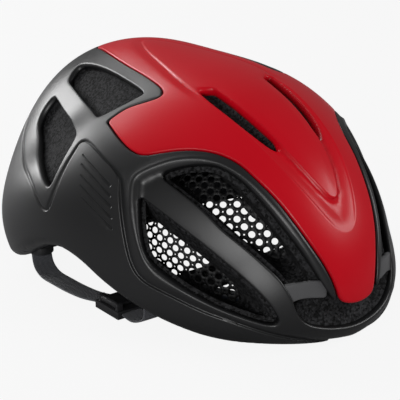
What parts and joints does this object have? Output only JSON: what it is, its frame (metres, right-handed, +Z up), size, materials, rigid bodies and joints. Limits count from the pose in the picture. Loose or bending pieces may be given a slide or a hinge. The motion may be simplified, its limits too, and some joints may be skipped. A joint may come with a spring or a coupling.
{
  "type": "cycling helmet",
  "caption": "Cycling helmet: red crown shell and black lower shell over a vented foam liner, with bug nets, pads, a dial fit system, chin straps and a sliding buckle.",
  "frame": {"origin": "centre of the bounding box's bottom, on the surface that the helmet's rim stands on", "axes": "+Z up, -Y to the front (the brow), +X to the wearer's left"},
  "size_m": [0.22, 0.2825, 0.1356],
  "materials": {
    "red_shell": "satin painted polycarbonate",
    "black_shell": "matte painted polycarbonate",
    "foam": "expanded polystyrene beads, dark grey",
    "net": "punched nylon mesh",
    "pad_cloth": "brushed jersey over foam",
    "fit_plastic": "moulded nylon, dark navy",
    "hard_plastic": "moulded acetal, black",
    "gear_plastic": "natural acetal",
    "webbing": "woven polyester",
    "magnet": "nickel plated",
    "rubber": "soft rubber"
  },
  "bodies": {
    "helmet": {"crown_shell": "red_shell", "lower_shell": "black_shell", "foam_liner": "foam", "front_bridge_left": "black_shell", "front_bridge_right": "black_shell", "bug_net_left": "net", "bug_net_right": "net", "brow_pad": "pad_cloth", "crown_pad": "pad_cloth", "side_pad_left": "pad_cloth", "side_pad_right": "pad_cloth", "headband": "fit_plastic", "temple_anchor_left": "hard_plastic", "temple_anchor_right": "hard_plastic", "height_clip_left": "hard_plastic", "height_clip_right": "hard_plastic", "strap_anchor_front_left": "hard_plastic", "strap_anchor_front_right": "hard_plastic", "strap_anchor_rear_left": "hard_plastic", "strap_anchor_rear_right": "hard_plastic", "front_strap_left": "webbing", "front_strap_right": "webbing", "rear_strap_left": "webbing", "rear_strap_right": "webbing", "divider_left": "hard_plastic", "divider_right": "hard_plastic", "chin_strap_left": "webbing", "chin_strap_right": "webbing", "buckle_base": "hard_plastic", "base_magnet": "magnet", "chin_pad": "pad_cloth"},
    "cradle": {"cradle_yoke": "fit_plastic", "nape_pad_left": "pad_cloth", "nape_pad_right": "pad_cloth", "dial_housing": "hard_plastic", "dial_cover": "hard_plastic"},
    "dial": {"dial_knob": "rubber", "dial_pinion": "gear_plastic"},
    "left_arm": {"band_arm_left": "fit_plastic"},
    "right_arm": {"band_arm_right": "fit_plastic"},
    "slider": {"buckle_slider": "hard_plastic", "slider_magnet": "magnet"},
    "left_lever": {"divider_lever_left": "hard_plastic"},
    "right_lever": {"divider_lever_right": "hard_plastic"},
    "keeper": {"strap_keeper": "rubber"}
  },
  "joints": [
    {"name": "cradle_tilt", "type": "hinge", "parent": "helmet", "child": "cradle", "pos_m": [0, -0.024, 0.044], "axis": [1, 0, 0], "range_deg": [0, 4]},
    {"name": "dial_turn", "type": "hinge", "parent": "cradle", "child": "dial", "pos_m": [0, 0.0932, 0.014], "axis": [0, -1, 0], "range_deg": [0, 104]},
    {"name": "left_arm_slide", "type": "slide", "parent": "cradle", "child": "left_arm", "axis": [-1, 0, 0], "range_m": [0, 0.008]},
    {"name": "right_arm_slide", "type": "slide", "parent": "cradle", "child": "right_arm", "axis": [1, 0, 0], "range_m": [0, 0.008]},
    {"name": "buckle_slide", "type": "slide", "parent": "helmet", "child": "slider", "axis": [0, 1, 0], "range_m": [0, 0.01]},
    {"name": "left_lever_turn", "type": "hinge", "parent": "helmet", "child": "left_lever", "pos_m": [0.084, -0.02, 0.0073], "axis": [0, 1, 0], "range_deg": [0, 75]},
    {"name": "right_lever_turn", "type": "hinge", "parent": "helmet", "child": "right_lever", "pos_m": [-0.084, -0.02, 0.0073], "axis": [0, -1, 0], "range_deg": [0, 75]},
    {"name": "keeper_slide", "type": "slide", "parent": "helmet", "child": "keeper", "axis": [1, 0, 0], "range_m": [-0.006, 0.006]}
  ],
  "couplings": [
    {"joint": "left_arm_slide", "follows": "dial_turn", "m_per_rad": 0.0044},
    {"joint": "right_arm_slide", "follows": "dial_turn", "m_per_rad": 0.0044}
  ]
}
